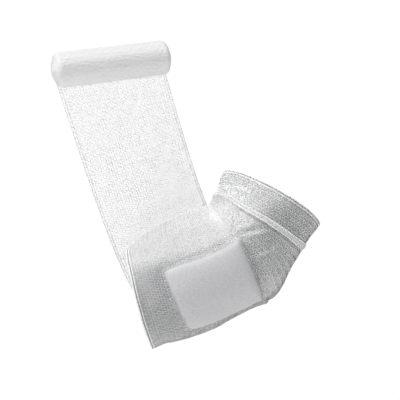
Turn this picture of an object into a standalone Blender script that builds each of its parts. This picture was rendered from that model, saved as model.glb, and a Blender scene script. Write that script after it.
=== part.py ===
"""Crepe bandage wrapped round a bent elbow over a square dressing pad, with its free strip and roll.

Metres, +Z up. The origin is the corner of the elbow: the two straight runs of the hollow's centre
line, forearm and upper arm, meet there. The bend lies in the XZ plane, and the dressing pad faces -Y.
Each turn of the bandage is a thin wall on one bent tube, at its own lift above the tube.
"""

import math

import bmesh
import bpy
import numpy as np

MM = 0.001

# The bent tube that the turns lie on
ARM_RADIUS = 46.0 * MM
FOREARM_REACH = 105.0 * MM
UPPER_REACH = 63.0 * MM
BEND_RADIUS = 134.0 * MM
BEND_ANGLE = math.radians(30.0)
FOREARM_TILT = math.radians(26.0)

# The strip of crepe
BAND_WIDTH = 100.0 * MM
BAND_WALL = 1.0 * MM
LAY_GAP = 0.45 * MM
BUTT_GAP = 0.3 * MM
LAP_RAMP = 12.0 * MM
LAP_REST = 2.0 * MM
CLIMB_START = math.radians(-90.0)
CLIMB_TURN = math.radians(320.0)
RIDGE_WIDTH = 5.0 * MM
RIDGE_RISE = 1.2 * MM
FOLD_RISE = 0.9 * MM
FOLD_WIDTH = 2.4 * MM

# The dressing pad under the turns
PAD_LENGTH = 66.0 * MM
PAD_HEIGHT = 52.0 * MM
PAD_THICKNESS = 4.6 * MM
PAD_CORNER = 5.0 * MM
PAD_EDGE = 1.4 * MM
PAD_TAPER = 0.05
PAD_STATION = -28.5 * MM
PAD_ANGLE = math.radians(107.0)
PAD_TURN = math.radians(7.0)
PAD_SLOPE = 9.0 * MM
PAD_MARGIN = 0.5 * MM
SECOND_MARGIN = 1.5 * MM

# The roll and the free strip that leads to it
ROLL_RADIUS = 15.8 * MM
ROLL_BULGE = 3.0 * MM
ROLL_LEFT = 108.0 * MM
ROLL_NEAR = 5.0 * MM
ROLL_UP = 161.5 * MM
ROLL_YAW = math.radians(20.0)
ROLL_TILT = math.radians(10.3)
TAIL_SKEW = math.radians(-11.0)
TAIL_LEAN = math.radians(10.0)
TAIL_LEAVE = math.radians(34.0)
LEAVE_PULL = 130.0 * MM
ARRIVE_PULL = 200.0 * MM

# Facets
ROUND_STEPS = 48
TURN_ROWS = {"upper_arm_turn": 9, "elbow_turn": 20, "forearm_turn": 21}
PAD_STEPS = 12
TAIL_ROWS = 8
TAIL_STEPS = 20
ROLL_STEPS = 40
ROLL_RINGS = 3

# Sections of the tube: station as a share of the reach on its side of the elbow, then the radii on
# the crease side, on the side of the elbow's tip and on the two flanks as shares of ARM_RADIUS
SECTIONS = (
    (-1.00, 0.900, 0.895, 0.910),
    (-0.80, 0.957, 0.930, 0.945),
    (-0.61, 1.005, 1.000, 0.990),
    (-0.44, 1.035, 1.038, 1.020),
    (-0.25, 1.022, 1.020, 1.030),
    (-0.12, 1.000, 1.078, 1.040),
    (-0.04, 0.957, 1.175, 1.045),
    (0.08, 0.905, 1.155, 1.045),
    (0.22, 0.870, 1.035, 1.030),
    (0.40, 0.895, 0.965, 1.020),
    (0.57, 0.957, 0.943, 1.010),
    (0.79, 1.050, 0.978, 1.010),
    (1.00, 1.087, 0.991, 1.020),
)

# Slanted round edges as shares of UPPER_REACH or, below the elbow, of BAND_WIDTH: the mean station,
# then what it gains toward the crease and toward the pad's flank
UPPER_RIM = (0.846, -0.056, 0.120)
UPPER_HIDDEN = (0.250, 0.0, 0.0)
ELBOW_HIDDEN = (-0.725, 0.055, 0.0)

# The elbow turn's folded ridge: angle in degrees from the crease over the pad's flank, then its
# station as a share of UPPER_REACH
ELBOW_RIDGE = (
    (-180.0, 0.590),
    (-90.0, 0.520),
    (-30.0, 0.440),
    (0.0, 0.415),
    (20.0, 0.495),
    (38.0, 0.545),
    (62.0, 0.560),
    (90.0, 0.582),
    (140.0, 0.592),
    (180.0, 0.590),
)

# The forearm turn: winding angle in degrees from the crease over the pad's flank, then the stations
# of its wrist edge and its elbow edge as shares of BAND_WIDTH
FOREARM_EDGES = (
    (-120.0, -0.80, 0.12),
    (-90.0, -0.81, 0.13),
    (0.0, -0.837, 0.14),
    (60.0, -0.875, 0.09),
    (90.0, -0.92, 0.04),
    (120.0, -0.965, -0.02),
    (180.0, -1.03, -0.08),
    (225.0, -1.03, -0.07),
    (270.0, -1.01, -0.04),
)

# Folds that fan out from the crease: angle in degrees and station as a share of UPPER_REACH where
# each one starts, and the same where it ends
ELBOW_FOLDS = (
    (14.0, 0.25, 60.0, 0.34),
    (86.0, 0.19, 102.0, 0.50),
    (-62.0, 0.40, -18.0, 0.27),
)
UPPER_FOLDS = (
    (20.0, 0.55, 40.0, 0.645),
    (38.0, 0.64, 68.0, 0.735),
)


def smooth(x):
    """A soft step from 0 to 1 as x goes from 0 to 1."""
    x = np.clip(x, 0.0, 1.0)
    return x * x * (3.0 - 2.0 * x)


def along_table(x, rows, column):
    """A smooth curve through one column of a table, over its first column, level past its ends."""
    xs = np.array([row[0] for row in rows])
    ys = np.array([row[column] for row in rows])
    slopes = np.gradient(ys, xs)
    x = np.clip(x, xs[0], xs[-1])
    i = np.clip(np.searchsorted(xs, x) - 1, 0, len(xs) - 2)
    span = xs[i + 1] - xs[i]
    s = (x - xs[i]) / span
    start = (1 + 2 * s) * (1 - s) ** 2 * ys[i] + s * (1 - s) ** 2 * span * slopes[i]
    end = s * s * (3 - 2 * s) * ys[i + 1] - s * s * (1 - s) * span * slopes[i + 1]
    return start + end


def round_edge(edge, angle, unit):
    """The station of a slanted round edge at an angle round the tube."""
    mean, crease, flank = edge
    return unit * (mean + crease * np.cos(angle) + flank * np.sin(angle))


def ridge_station(angle):
    """The station of the elbow turn's folded ridge at an angle round the tube."""
    degrees = (np.degrees(angle) + 180.0) % 360.0 - 180.0
    return UPPER_REACH * along_table(degrees, ELBOW_RIDGE, 1)


def centre_line(t):
    """The centre line's point, its heading and its normal toward the crease, at station t."""
    half = BEND_RADIUS * BEND_ANGLE / 2
    bend = np.clip(t, -half, half)
    straight = t - bend
    middle = FOREARM_TILT + BEND_ANGLE / 2
    corner = BEND_RADIUS / math.cos(BEND_ANGLE / 2)
    turn = middle + bend / BEND_RADIUS
    heading = np.stack([np.cos(turn), np.zeros_like(turn), np.sin(turn)], axis=-1)
    normal = np.stack([-np.sin(turn), np.zeros_like(turn), np.cos(turn)], axis=-1)
    centre = corner * np.array([-math.sin(middle), 0.0, math.cos(middle)])
    point = centre - BEND_RADIUS * normal + straight[..., None] * heading
    return point, heading, normal


def tube_point(t, angle, lift):
    """The point at station t, at an angle from the crease over the pad's flank, lift above the tube."""
    point, _, normal = centre_line(t)
    share = np.where(t < 0, t / FOREARM_REACH, t / UPPER_REACH)
    crease = ARM_RADIUS * along_table(share, SECTIONS, 1) + lift
    tip = ARM_RADIUS * along_table(share, SECTIONS, 2) + lift
    flank = ARM_RADIUS * along_table(share, SECTIONS, 3) + lift
    cosine = np.cos(angle)
    inward = np.where(cosine > 0, crease, tip) * cosine
    sideways = -flank * np.sin(angle)
    across = np.array([0.0, 1.0, 0.0])
    return point + inward[..., None] * normal + sideways[..., None] * across


def pad_station(along, around):
    """The station and angle of the pad's flat point, which is along and around from its centre."""
    half = BEND_RADIUS * BEND_ANGLE / 2
    run = along * math.cos(PAD_TURN) - around * math.sin(PAD_TURN)
    angle = PAD_ANGLE + (around * math.cos(PAD_TURN) + along * math.sin(PAD_TURN)) / ARM_RADIUS
    stretch = 1.0 - ARM_RADIUS * np.cos(angle) / BEND_RADIUS
    past_bend = run + PAD_STATION + half
    station = np.where(past_bend > 0, past_bend / stretch, past_bend) - half
    return station, angle


def pad_flat(t, angle):
    """The pad's flat coordinates of a station and an angle, the other way round."""
    half = BEND_RADIUS * BEND_ANGLE / 2
    stretch = 1.0 - ARM_RADIUS * np.cos(angle) / BEND_RADIUS
    past_bend = t + half
    run = np.where(past_bend > 0, past_bend * stretch, past_bend) - half - PAD_STATION
    turned = (angle - PAD_ANGLE) * ARM_RADIUS
    along = run * math.cos(PAD_TURN) + turned * math.sin(PAD_TURN)
    around = turned * math.cos(PAD_TURN) - run * math.sin(PAD_TURN)
    return along, around


def over_pad(t, angle, margin):
    """How far a turn is lifted by the pad under it, level over the pad and its margin."""
    angle = np.mod(angle, 2 * math.pi)
    along, around = pad_flat(t, angle)
    end = PAD_LENGTH / 2 * (1 - PAD_TAPER * np.clip(2 * around / PAD_HEIGHT, -1, 1))
    past_end = (np.abs(along) - end - margin) / PAD_SLOPE
    past_side = (np.abs(around) - PAD_HEIGHT / 2 - margin) / PAD_SLOPE
    return (PAD_THICKNESS + LAY_GAP) * (1 - smooth(past_end)) * (1 - smooth(past_side))


def lap(t, edge):
    """Rises from 0 to the height of one lap as a turn climbs onto the edge of the turn below."""
    return (BAND_WALL + LAY_GAP) * smooth((t - edge + LAP_RAMP) / (LAP_RAMP - LAP_REST))


def elbow_lift(t, angle):
    """The elbow turn lies over the pad and over the hidden part of the upper arm's turn."""
    below = round_edge(UPPER_HIDDEN, angle, UPPER_REACH)
    return over_pad(t, angle, PAD_MARGIN) + lap(t, below)


def forearm_lift(t, wound):
    """The forearm turn lies over the elbow turn, and climbs one lap more in its own full turn."""
    below = round_edge(ELBOW_HIDDEN, wound, BAND_WIDTH)
    climb = (BAND_WALL + LAY_GAP) * smooth((wound - CLIMB_START) / CLIMB_TURN)
    past_elbow_turn = over_pad(t, wound, PAD_MARGIN + SECOND_MARGIN) - over_pad(t, wound, PAD_MARGIN)
    return elbow_lift(t, wound) + past_elbow_turn + lap(t, below) + climb


def fold_rise(t, angle, folds):
    """Low ridges along the folds: each is highest on its line and fades to its sides and its ends."""
    turned = ARM_RADIUS * ((angle + math.pi) % (2 * math.pi) - math.pi)
    rise = np.zeros_like(t)
    for first_angle, first, last_angle, last in folds:
        start = np.array([ARM_RADIUS * math.radians(first_angle), UPPER_REACH * first])
        way = np.array([ARM_RADIUS * math.radians(last_angle), UPPER_REACH * last]) - start
        share = ((turned - start[0]) * way[0] + (t - start[1]) * way[1]) / way.dot(way)
        share = np.clip(share, 0, 1)
        off = np.hypot(turned - start[0] - share * way[0], t - start[1] - share * way[1])
        ends = smooth(4 * share) * smooth(4 * (1 - share))
        rise += FOLD_RISE * ends * np.exp(-((off / FOLD_WIDTH) ** 2))
    return rise


def wall_object(name, inner, outer, closed):
    """A closed wall between two grids of points, rows by columns, whose columns may close in a ring."""
    rows, columns = inner.shape[:2]
    vertices = np.concatenate([inner.reshape(-1, 3), outer.reshape(-1, 3)])
    skip = rows * columns

    def at(row, column, side):
        return side * skip + row * columns + column % columns

    faces = []
    for column in range(columns if closed else columns - 1):
        for row in range(rows - 1):
            corners = ((row, column), (row, column + 1), (row + 1, column + 1), (row + 1, column))
            faces.append([at(r, c, 0) for r, c in corners])
            faces.append([at(r, c, 1) for r, c in reversed(corners)])
        for row in (0, rows - 1):
            faces.append([at(row, column, 0), at(row, column + 1, 0), at(row, column + 1, 1), at(row, column, 1)])
    if not closed:
        for column in (0, columns - 1):
            for row in range(rows - 1):
                faces.append([at(row, column, 0), at(row + 1, column, 0), at(row + 1, column, 1), at(row, column, 1)])
    return mesh_object(name, vertices, faces)


def mesh_object(name, vertices, faces):
    """A new object from points and faces, with its faces pointing out and its round sides smooth."""
    mesh = bpy.data.meshes.new(name)
    mesh.from_pydata([tuple(point) for point in vertices], [], faces)
    work = bmesh.new()
    work.from_mesh(mesh)
    bmesh.ops.recalc_face_normals(work, faces=work.faces)
    bmesh.ops.triangulate(work, faces=work.faces)
    work.to_mesh(mesh)
    work.free()
    mesh.shade_smooth()
    mesh.set_sharp_from_angle(angle=math.radians(40))
    thing = bpy.data.objects.new(name, mesh)
    bpy.context.scene.collection.objects.link(thing)
    return thing


def paint(thing, name, colour, roughness):
    """Gives an object its own material."""
    material = bpy.data.materials.new(name)
    material.use_nodes = True
    shader = material.node_tree.nodes["Principled BSDF"]
    shader.inputs["Base Color"].default_value = (*colour, 1.0)
    shader.inputs["Roughness"].default_value = roughness
    shader.inputs["Metallic"].default_value = 0.0
    thing.data.materials.append(material)


def ring_angles():
    """Angles round the tube, one for each column of a ring."""
    return np.arange(ROUND_STEPS) * (2 * math.pi / ROUND_STEPS)


def make_upper_arm_turn():
    """The turn on the upper arm, which lies on the tube and ends in the upper rim."""
    name = "upper_arm_turn"
    share, angle = np.meshgrid(np.linspace(0, 1, TURN_ROWS[name]), ring_angles(), indexing="ij")
    low = round_edge(UPPER_HIDDEN, angle, UPPER_REACH)
    high = round_edge(UPPER_RIM, angle, UPPER_REACH)
    t = low + share * (high - low)
    inner = tube_point(t, angle, np.zeros_like(t))
    outer = tube_point(t, angle, BAND_WALL + fold_rise(t, angle, UPPER_FOLDS))
    turn = wall_object(name, inner, outer, True)
    paint(turn, "crepe of the upper turn", (0.86, 0.86, 0.86), 0.9)


def make_elbow_turn():
    """The turn over the elbow, with its folded ridge over the turn above and folds at the crease."""
    name = "elbow_turn"
    share, angle = np.meshgrid(np.linspace(0, 1, TURN_ROWS[name]), ring_angles(), indexing="ij")
    low = round_edge(ELBOW_HIDDEN, angle, BAND_WIDTH)
    high = ridge_station(angle)
    t = low + share * (high - low)
    lift = elbow_lift(t, angle)
    ridge = RIDGE_RISE * smooth(1.0 - (high - t) / RIDGE_WIDTH)
    inner = tube_point(t, angle, lift)
    outer = tube_point(t, angle, lift + BAND_WALL + ridge + fold_rise(t, angle, ELBOW_FOLDS))
    turn = wall_object(name, inner, outer, True)
    paint(turn, "crepe of the elbow turn", (0.86, 0.86, 0.86), 0.9)


def forearm_grid(share, wound):
    """Stations of the forearm turn: share goes from its wrist edge to its elbow edge."""
    degrees = np.degrees(wound)
    low = BAND_WIDTH * along_table(degrees, FOREARM_EDGES, 1)
    high = BAND_WIDTH * along_table(degrees, FOREARM_EDGES, 2)
    return low + share * (high - low)


def make_forearm_turn():
    """The last turn, wound once and a little more, up to the flank where the free strip leaves it."""
    name = "forearm_turn"
    first, last = (math.radians(FOREARM_EDGES[i][0]) for i in (0, -1))
    columns = round((last - first) / (2 * math.pi) * ROUND_STEPS) + 1
    share, wound = np.meshgrid(
        np.linspace(0, 1, TURN_ROWS[name]), np.linspace(first, last, columns), indexing="ij"
    )
    t = forearm_grid(share, wound)
    lift = forearm_lift(t, wound)
    inner = tube_point(t, wound, lift)
    outer = tube_point(t, wound, lift + BAND_WALL)
    turn = wall_object(name, inner, outer, False)
    paint(turn, "crepe of the forearm turn", (0.86, 0.86, 0.86), 0.9)


def make_dressing_pad():
    """The square pad: two grids over its flat shape, the upper one domed at its soft edges."""
    steps = np.linspace(-1, 1, PAD_STEPS + 1)
    spread = np.sin(steps * math.pi / 2)
    along, around = np.meshgrid(spread, spread, indexing="ij")
    corner = PAD_CORNER / PAD_LENGTH
    flat_along = along * (1 - corner * around**8) * (1 - PAD_TAPER * around) * PAD_LENGTH / 2
    flat_around = around * (1 - corner * along**8) * PAD_HEIGHT / 2
    station, angle = pad_station(flat_along, flat_around)
    dome = (1 - along**8) * (1 - around**8)
    low = np.full_like(station, BUTT_GAP)
    high = PAD_EDGE + (PAD_THICKNESS - PAD_EDGE) * dome
    pad = wall_object(
        "dressing_pad", tube_point(station, angle, low), tube_point(station, angle, high), False
    )
    paint(pad, "felt of the dressing pad", (0.62, 0.63, 0.65), 0.95)


def roll_frame():
    """The roll's centre and axis, the strip's way down from it and the side that it leaves from."""
    centre = np.array([-ROLL_LEFT, -ROLL_NEAR, ROLL_UP])
    level = np.array([math.cos(ROLL_YAW), math.sin(ROLL_YAW), 0.0])
    axis = math.cos(ROLL_TILT) * level + np.array([0.0, 0.0, math.sin(ROLL_TILT)])
    down = np.array([0.0, math.sin(TAIL_LEAN), -math.cos(TAIL_LEAN)])
    down = down - down.dot(axis) * axis
    down = down / np.linalg.norm(down)
    return centre, axis, down, np.cross(axis, down)


def make_bandage_roll():
    """The wound roll: a spiral outline with one lap's step, and ends that bulge toward the core."""
    centre, axis, down, side = roll_frame()
    wound = np.linspace(0, 2 * math.pi, ROLL_STEPS + 1)
    edge = ROLL_RADIUS - (BAND_WALL + LAY_GAP) * wound / (2 * math.pi)
    shares = np.linspace(1, 0, ROLL_RINGS + 1)
    share = np.concatenate([shares[::-1], shares])[1:-1]
    end = np.repeat([-1.0, 1.0], ROLL_RINGS + 1)[1:-1]
    height = end * (BAND_WIDTH / 2 + ROLL_BULGE * (1 - share**2))
    radial = np.cos(wound)[:, None] * side - np.sin(wound)[:, None] * down
    rings = centre + share[:, None, None] * edge[:, None] * radial
    rings = rings + height[:, None, None] * axis
    hubs = [centre + sign * (BAND_WIDTH / 2 + ROLL_BULGE) * axis for sign in (-1, 1)]
    count = len(wound)
    last = (len(share) - 1) * count
    faces = []
    for i in range(count):
        j = (i + 1) % count
        for first in range(0, last, count):
            faces.append([first + i, first + j, first + count + j, first + count + i])
        faces.append([j, i, last + count])
        faces.append([last + i, last + j, last + count + 1])
    roll = mesh_object("bandage_roll", np.concatenate([rings.reshape(-1, 3), hubs]), faces)
    paint(roll, "crepe of the roll", (0.88, 0.88, 0.88), 0.9)


def tail_start(share):
    """Where the free strip leaves the forearm turn, and the lift of its inner face there."""
    wound = np.full_like(share, math.radians(FOREARM_EDGES[-1][0]))
    t = forearm_grid(share, wound)
    return t, wound, forearm_lift(t, wound)


def tail_middle(share, run):
    """The free strip's middle surface: share across it, run from the turn at 0 to the roll at 1."""
    t, wound, lift = tail_start(share)
    centre, axis, down, side = roll_frame()
    start = tube_point(t, wound, lift + BAND_WALL / 2)
    leave = np.array([-math.sin(TAIL_LEAVE), 0.0, math.cos(TAIL_LEAVE)])
    start = start + BUTT_GAP * leave
    across = (share - 0.5) * BAND_WIDTH
    radius = ROLL_RADIUS - BAND_WALL / 2
    end = centre + radius * side + across[..., None] * axis + BUTT_GAP * down
    arrive = -down * math.cos(TAIL_SKEW) + axis * math.sin(TAIL_SKEW)
    v = run[..., None]
    points = (1 + 2 * v) * (1 - v) ** 2 * start + v * v * (3 - 2 * v) * end
    pulls = LEAVE_PULL * v * (1 - v) ** 2 * leave - ARRIVE_PULL * v * v * (1 - v) * arrive
    return points + pulls


def make_bandage_tail():
    """The free strip, a thin wall on both sides of its middle surface."""
    share, run = np.meshgrid(
        np.linspace(0, 1, TAIL_ROWS + 1), np.linspace(0, 1, TAIL_STEPS + 1), indexing="ij"
    )
    middle = tail_middle(share, run)
    by_share = np.gradient(middle, axis=0)
    by_run = np.gradient(middle, axis=1)
    normal = np.cross(by_share, by_run)
    normal = normal / np.linalg.norm(normal, axis=-1, keepdims=True)
    tail = wall_object(
        "bandage_tail", middle - normal * BAND_WALL / 2, middle + normal * BAND_WALL / 2, False
    )
    paint(tail, "crepe of the free strip", (0.9, 0.9, 0.9), 0.9)


def main():
    for thing in list(bpy.data.objects):
        bpy.data.objects.remove(thing)
    make_upper_arm_turn()
    make_elbow_turn()
    make_forearm_turn()
    make_dressing_pad()
    make_bandage_roll()
    make_bandage_tail()


main()
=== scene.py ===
"""Looks of the crepe bandage: turns of cloth with a thread net, the felt pad, the free strip and the roll.

Metres, +Z up, in the frame of the CAD model. Every turn lies on the same bent tube as its solid there.
"""

import math

import bpy
import numpy as np
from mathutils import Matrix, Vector


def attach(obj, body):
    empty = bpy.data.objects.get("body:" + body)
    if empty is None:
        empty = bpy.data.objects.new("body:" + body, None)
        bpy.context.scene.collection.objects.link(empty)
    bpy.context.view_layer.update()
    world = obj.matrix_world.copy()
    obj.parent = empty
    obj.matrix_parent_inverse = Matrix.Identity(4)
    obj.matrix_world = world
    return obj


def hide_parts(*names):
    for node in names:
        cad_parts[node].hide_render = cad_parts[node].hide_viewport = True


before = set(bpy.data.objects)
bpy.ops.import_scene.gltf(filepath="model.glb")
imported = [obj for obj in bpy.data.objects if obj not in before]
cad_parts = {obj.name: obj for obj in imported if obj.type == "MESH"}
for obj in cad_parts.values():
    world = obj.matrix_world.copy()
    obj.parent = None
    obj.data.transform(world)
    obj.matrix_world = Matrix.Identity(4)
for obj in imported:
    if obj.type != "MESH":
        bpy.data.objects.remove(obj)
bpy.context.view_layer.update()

MM = 0.001

# The bent tube that the turns lie on
ARM_RADIUS = 46.0 * MM
FOREARM_REACH = 105.0 * MM
UPPER_REACH = 63.0 * MM
BEND_RADIUS = 134.0 * MM
BEND_ANGLE = math.radians(30.0)
FOREARM_TILT = math.radians(26.0)

# The strip of crepe
BAND_WIDTH = 100.0 * MM
BAND_WALL = 1.0 * MM
LAY_GAP = 0.45 * MM
BUTT_GAP = 0.3 * MM
LAP_RAMP = 12.0 * MM
LAP_REST = 2.0 * MM
CLIMB_START = math.radians(-90.0)
CLIMB_TURN = math.radians(320.0)
RIDGE_WIDTH = 5.0 * MM
RIDGE_RISE = 0.8 * MM
RIDGE_FOOT = 1.6 * MM
KNOT_ANGLE = 40.0
KNOT_SPREAD = 15.0
KNOT_MELT = 0.8
TUCK_HEIGHT = 0.36 * MM
TUCK_END = math.radians(150.0)
TUCK_TURN = 0.5
TUCK_THINNING = 0.85
TUCK_LIP = 4.0 * MM
UPPER_PLUMP = 0.9 * MM
PLUMP_WIDTH = 10.0 * MM
FOLD_WIDTH = 1.3 * MM
FOLD_START_STEEP = 6.0
FOLD_END_STEEP = 3.0

# Slow waves of the cloth: radians for a metre along the tube, whole waves round it, and the phase
RIPPLES = ((310.0, 5, 0.0), (-140.0, 9, 0.0), (170.0, -13, 1.3))
RIPPLE_HEIGHTS = (0.12 * MM, 0.08 * MM)

# The dressing pad under the turns
PAD_LENGTH = 66.0 * MM
PAD_ELBOW_END = 31.5 * MM
PAD_HEIGHT = 51.5 * MM
PAD_THICKNESS = 4.6 * MM
PAD_CORNER = 2.6 * MM
PAD_POWER = 14
PAD_EDGE = 1.4 * MM
PAD_TAPER = 0.05
PAD_STATION = -28.5 * MM
PAD_ANGLE = math.radians(110.5)
PAD_TURN = math.radians(7.0)
PAD_SLOPE = 3.2 * MM
PAD_MARGIN = 1.0 * MM
PAD_SHOW_SLOPE = 1.6 * MM
PAD_DOME_POWER = 8

# The roll and the free strip that leads to it
ROLL_RADIUS = 15.8 * MM
ROLL_BULGE = 3.0 * MM
ROLL_SHOULDER = 4.6 * MM
ROLL_FLAT = 0.68
ROLL_LEFT = 108.0 * MM
ROLL_NEAR = 5.0 * MM
ROLL_UP = 161.5 * MM
ROLL_YAW = math.radians(20.0)
ROLL_TILT = math.radians(10.3)
TAIL_SKEW = math.radians(-11.0)
TAIL_LEAN = math.radians(10.0)
TAIL_LEAVE = math.radians(34.0)
LEAVE_PULL = 130.0 * MM
ARRIVE_PULL = 200.0 * MM

# The roll's relief: the laps on its ends, and the weave and the wrinkles of its outer lap. A lap wave is
# its height, its waves round the roll and its radians for each lap. Wrinkles are slanted sine waves
ROLL_CORE = 0.035
ROLL_SEAM = 0.999
LAP_RIDGE = 0.45 * MM
LAP_ROUNDING = 0.7
LAP_WAVES = ((0.10 * MM, 11, 3), (0.07 * MM, 23, -5))
LAP_FADE = 0.12
# Painted shade in the gaps between the laps on the ends
LAP_GAP_PAINTED_SHADE = 0.45
WEAVE_RELIEF = 0.07 * MM
WRINKLE_RELIEF = 0.06 * MM
RELIEF_SINK = 0.15 * MM
WRINKLE_COUNT = 40
WRINKLES_ROUND = (12, 40)
WRINKLES_ALONG = 750.0
WRINKLE_PHASES = 6.28
# Painted shade on the outer lap: in the dips of its weave and wrinkles, a little all over, and on the roll's
# upper side, rising as the surface faces up
WEAVE_DIP_PAINTED_SHADE = 0.20
WRINKLE_DIP_PAINTED_SHADE = 0.12
RELIEF_PAINTED_SHADE = 0.03
TOP_PAINTED_SHADE = 0.62
TOP_FROM = 0.30
TOP_FADE = 0.75

# The thread net: columns of paired yarns run along the strip, rows of weft zigzag across it. Such crepe
# has a thread about every millimetre, which is too fine to show here, so both pitches are drawn coarser
COLUMN_PITCH = 2.25 * MM
ROW_PITCH = 1.95 * MM
STRIP_FULLNESS = 1.14
YARN_RADIUS = 0.20 * MM
YARN_SWAY = 0.45 * MM
YARN_DRIFT = 0.16 * MM
YARN_SHAKE = 0.11 * MM
YARN_UNEVEN = 0.26
YARN_WAVE = 0.10 * MM
YARN_PHASE = 0.8
YARN_SIDES = 3
WEFT_RADIUS = 0.26 * MM
WEFT_SLANT = 0.80 * MM
WEFT_SHIFT = 0.13 * MM
WEFT_SHAKE = 0.20 * MM
WEFT_UNEVEN = 0.28
WEFT_WAVE = 0.12 * MM
WEFT_SINK = 0.04 * MM
WEFT_INSET = 0.004
RUN_INSET = 0.001
CORD_RADIUS = 0.40 * MM
CORD_SHAKE = 0.06 * MM
CORD_THIN = 0.3
CORD_GROWTH = 0.06
CORD_SIDES = 4
CORD_SHOWN = math.radians(160.0)
DRIFT_STEP = 12
SHAKE_STEP = 2
UNEVEN_STEP = 3
CORD_STEP = 8
CORD_INSET = (0.5 * MM, 2.7 * MM)
RIDGE_CORD_INSET = (0.5 * MM, 4.4 * MM)
NET_LIFT = 0.78 * MM
GROUND_LOW = 0.15 * MM
GROUND_HIGH = 0.50 * MM
PAD_SINK = 0.53 * MM
EDGE_FADE = 20.0 * MM
UPPER_NET_UNDER = 3.0 * MM
ELBOW_NET_UNDER = 1.0 * MM

# Each turn's net: its size across and round. Each turn's cloth: its first and last share of the width and
# its points across, then its points round
UPPER_NET = (29.0 * MM, 290.0 * MM)
ELBOW_NET = (36.0 * MM, 296.0 * MM)
FOREARM_NET = (BAND_WIDTH, 325.0 * MM)
UPPER_GRID = ((0, 0.985, 40), 200)
ELBOW_GRID = ((0, 1, 84), 220)
FOREARM_GRID = ((0.012, 0.998, 62), 270)
PAD_STEPS = 57
TAIL_POINTS = 200
TAIL_STEP = 0.002
ROLL_POINTS = 200
END_RINGS = 66
SHOULDER_RINGS = 13
BODY_RINGS = 126

# Directions that a yarn's rings are turned to: the other one serves where the yarn runs nearly along
# the first
GUIDE = (0.13, 0.37, 0.92)
OTHER_GUIDE = (0.9, -0.4, 0.1)
NEARLY_ALONG = 0.97

# How light the crepe is painted, its painted light and shade: 1 where it is gathered white and lit, 0 where
# it is stretched open and painted grey in shade, and -1 in the painted deep shade of its underside. It is
# gathered and lit as far as an angle from the crease, in degrees, that grows by a slant for each metre of
# the station. The upper arm is painted a little lighter and its rim darker, folds and the folded edge get
# painted highlights, and the open gaps between cords and the foot of the folded edge get painted shade
GATHERED = 0.69
GATHERED_TO = 66.0
GATHERED_SLANT = 250.0
GATHERED_FADE = 28.0
UPPER_GAIN = 0.15
UPPER_GAIN_FROM = -6.0 * MM
UPPER_GAIN_LENGTH = 12.0 * MM
RIM_LOSS = 0.14
RIM_LOSS_FROM = 36.0 * MM
RIM_LOSS_LENGTH = 8.0 * MM
UNDERSIDE_FROM = 149.0
UNDERSIDE_FADE = 14.0
FOLD_LIGHT = 0.4
RIM_GAP_PAINTED_SHADE = 0.3
WRIST_GAP_PAINTED_SHADE = 1.1
CORD_GAP = 0.75 * MM
BAND_LIGHT = 0.75
FOOT_PAINTED_SHADOW = 0.75
FOOT_PLACE = 0.4 * MM
FOOT_WIDTH = 0.9 * MM
INSIDE_LIGHT = 0.25
YARN_GAIN = 1.6
GROUND_POWER = 1.6

# Painted highlights, places where it is lighter still: by how much, the station, the angle in degrees from
# the crease over the pad's flank, then how far it reaches along the tube and in degrees round it
PAINTED_HIGHLIGHT_SPOTS = (
    (0.50, 31.0 * MM, 44.0, 9.0 * MM, 17.0),
    (0.42, 19.0 * MM, 40.0, 13.0 * MM, 24.0),
    (0.20, -20.0 * MM, 66.0, 24.0 * MM, 9.0),
    (0.12, 50.0 * MM, 68.0, 9.0 * MM, 18.0),
    (0.44, 0.0, 138.0, 13.0 * MM, 17.0),
)

# Sizes of the patterns in the surfaces. Loose fibres are finer than a tenth of a millimetre and felt's
# grain is a few tenths, so both are drawn coarser to show
YARN_PATCH = 2.38 * MM
YARN_FUZZ = 0.385 * MM
LAYER_WEAVE = 1.3 * MM
LAYER_CLOUD = 16.7 * MM
PAD_GRAIN = 1.316 * MM
FELT_MOTTLE = 4.55 * MM
FELT_FUZZ = 0.714 * MM
ROLL_CLOUD = 7.14 * MM
ROLL_FUZZ = 0.625 * MM

# Colours. The deep and grey colours of the layers and the grey of the yarn are painted shade: deep on the
# underside, grey where the crepe is stretched open
LAYER_PAINTED_DEEP_SHADE = "#5E5F61"
LAYER_PAINTED_SHADE_GREY = "#9A9B9D"
LAYER_WHITE = "#F0F0F0"
PAD_SHOW = "#BFBFC1"
YARN_PAINTED_SHADE_GREY = "#DDDDDE"
YARN_WHITE = "#FAFAFA"
STRIP_WHITE = "#FFFFFF"
FELT_WHITE = "#D4D6D8"
ROLL_WHITE = "#DFDFDF"
PAPER_WHITE = "#F4F4F4"

# The studio in metres and watts: each lamp's name, place, size and power, and the glow of the paper by
# how far it is behind the bandage or away from it
LAMPS = (("key", (-1.15, -0.75, 2.7), 1.3, 104.0), ("fill", (0.1, -2.4, 0.3), 2.2, 11.0))
LAMP_TARGET = (-0.03, 0.0, 0.04)
WORLD_STRENGTH = 0.30
PAPER_GLOW = 1.02
GLOW_BEHIND = (0.2, 0.8)
GLOW_AWAY = (1.6, 4.0)
FLOOR_HALF = 8.0
FLOOR_LEVEL = -0.45
COVE_RADIUS = 1.2
COVE_START = 0.1
COVE_ROWS = 14
FLOOR_ROWS = 24
FLOOR_COLUMNS = 17
WALL_TOP = 3.5
CAMERA_PLACE = (-0.0322, -0.65, 0.0444)
VIEW_WIDTH = 0.348
SENSOR_WIDTH = 36.0

# Sockets of a Mix node for colours
SHARE, FIRST, SECOND, MIXED = 0, 6, 7, 2

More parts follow.
